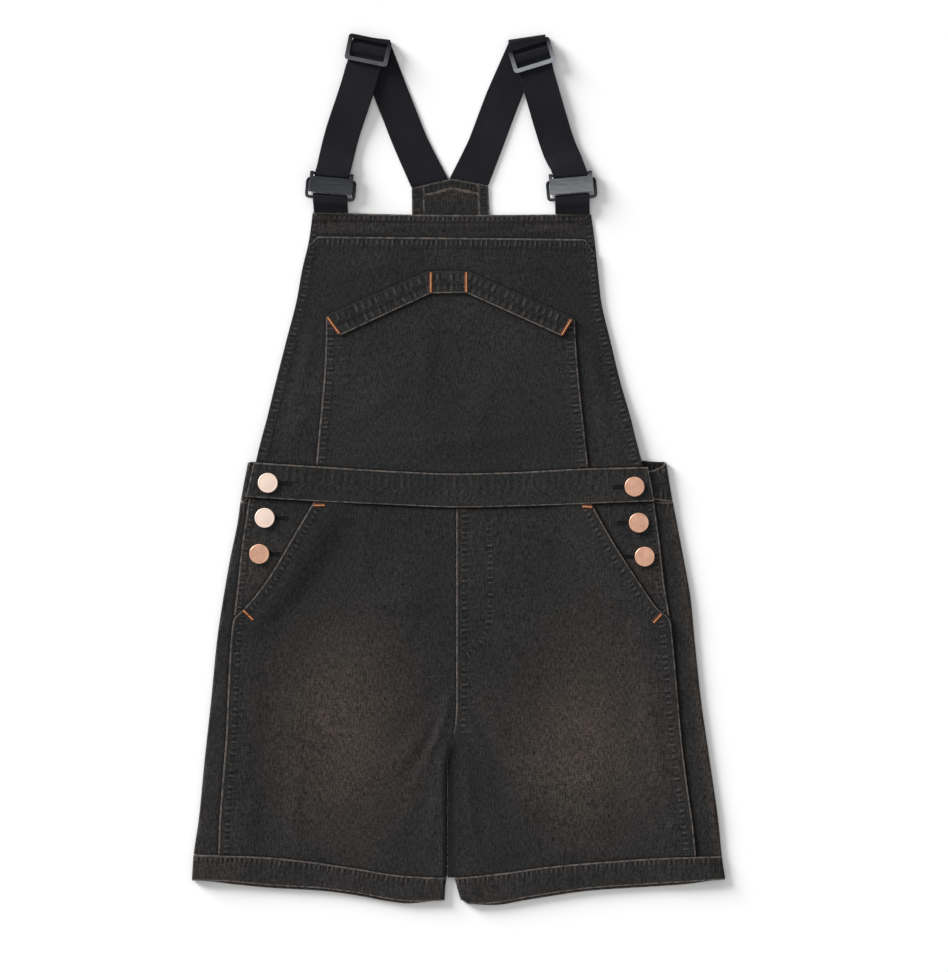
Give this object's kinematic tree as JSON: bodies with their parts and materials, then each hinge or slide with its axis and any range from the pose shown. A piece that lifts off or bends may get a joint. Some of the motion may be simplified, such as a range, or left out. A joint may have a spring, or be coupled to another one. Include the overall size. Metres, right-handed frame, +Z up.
{
  "type": "bib overall shorts",
  "caption": "Bib overall shorts in washed dark denim, laid flat front up: bib with chevron pocket, side-button waist, slant pockets, turned hems, webbing straps with sliders and hooks.",
  "frame": {"origin": "middle of the garment's outline, on the surface it lies on", "axes": "+Y up the garment from hems to straps, +X to the right seen from above with the front up, +Z up out of the cloth"},
  "size_m": [0.4956, 0.8099, 0.01],
  "materials": {
    "denim": "washed black denim twill, faded at the thighs and seam edges",
    "webbing": "tight woven near-black webbing",
    "gunmetal": "satin dark gunmetal",
    "copper": "satin rose copper"
  },
  "bodies": {
    "root": {"back_bib": "denim", "back_leg_left": "denim", "back_leg_right": "denim", "back_waistband": "denim", "back_yoke": "denim", "bib_front": "denim", "bib_overlay": "denim", "bib_pocket": "denim", "bib_pocket_band": "denim", "front_leg_left": "denim", "front_leg_right": "denim", "front_waistband": "denim", "hip_facing_left": "denim", "hip_facing_right": "denim", "hem_left": "denim", "hem_right": "denim", "strap_back_left": "webbing", "strap_back_right": "webbing", "strap_front_left": "webbing", "strap_front_right": "webbing", "strap_stub_left": "webbing", "strap_stub_right": "webbing", "slider_left": "gunmetal", "slider_right": "gunmetal", "hook_left": "gunmetal", "hook_right": "gunmetal", "ring_left": "gunmetal", "ring_right": "gunmetal", "button_1": "copper", "button_2": "copper", "button_3": "copper", "button_4": "copper", "button_5": "copper", "button_6": "copper"}
  },
  "joints": []
}
